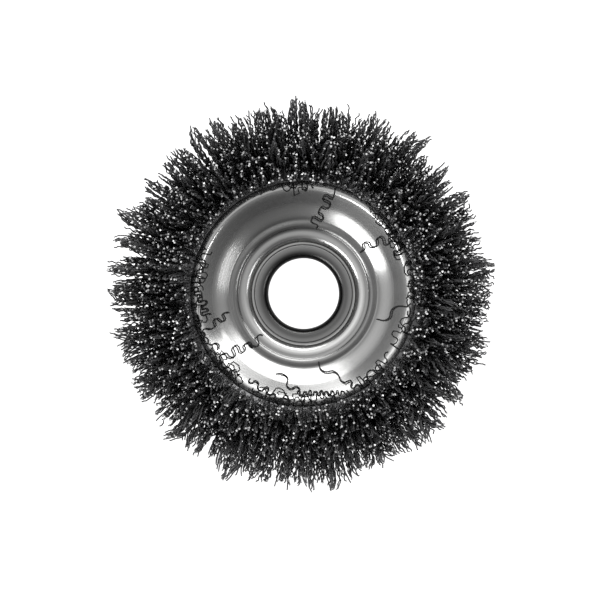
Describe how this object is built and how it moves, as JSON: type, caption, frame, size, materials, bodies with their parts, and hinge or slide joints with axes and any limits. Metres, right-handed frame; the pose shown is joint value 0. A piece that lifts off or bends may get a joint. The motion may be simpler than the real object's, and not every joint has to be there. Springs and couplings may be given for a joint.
{
  "type": "wire cup brush",
  "caption": "Cup brush of crimped steel wires, folded over a ring in a pressed cup and flared round a dished liner with a plain bore, for cleaning metal.",
  "frame": {"origin": "on the brush's axis, in the plane of the back pad that it stands on", "axes": "+Z along the axis from the back towards the wire tips; +X and +Y square to it, with no direction of their own on the round brush"},
  "size_m": [0.1163, 0.1204, 0.0433],
  "materials": {
    "cup_steel": "satin, zinc plated pressed steel",
    "liner_steel": "bright, polished pressed steel",
    "eyelet_steel": "bright, smooth rolled steel",
    "ring_steel": "plain drawn wire",
    "brush_wire": "dark, lightly oiled crimped steel wire with bright cut ends"
  },
  "bodies": {
    "root": {"outer_cup": "cup_steel", "liner": "liner_steel", "bore_eyelet": "eyelet_steel", "holding_ring": "ring_steel", "wire_bundle_01": "brush_wire", "wire_bundle_02": "brush_wire", "wire_bundle_03": "brush_wire", "wire_bundle_04": "brush_wire", "wire_bundle_05": "brush_wire", "wire_bundle_06": "brush_wire", "wire_bundle_07": "brush_wire", "wire_bundle_08": "brush_wire", "wire_bundle_09": "brush_wire", "wire_bundle_10": "brush_wire", "wire_bundle_11": "brush_wire", "wire_bundle_12": "brush_wire", "wire_bundle_13": "brush_wire", "wire_bundle_14": "brush_wire", "wire_bundle_15": "brush_wire", "wire_bundle_16": "brush_wire", "wire_bundle_17": "brush_wire", "wire_bundle_18": "brush_wire", "wire_bundle_19": "brush_wire", "wire_bundle_20": "brush_wire", "wire_bundle_21": "brush_wire", "wire_bundle_22": "brush_wire", "wire_bundle_23": "brush_wire", "wire_bundle_24": "brush_wire", "wire_bundle_25": "brush_wire", "wire_bundle_26": "brush_wire", "wire_bundle_27": "brush_wire", "wire_bundle_28": "brush_wire", "wire_bundle_29": "brush_wire", "wire_bundle_30": "brush_wire"}
  },
  "joints": []
}
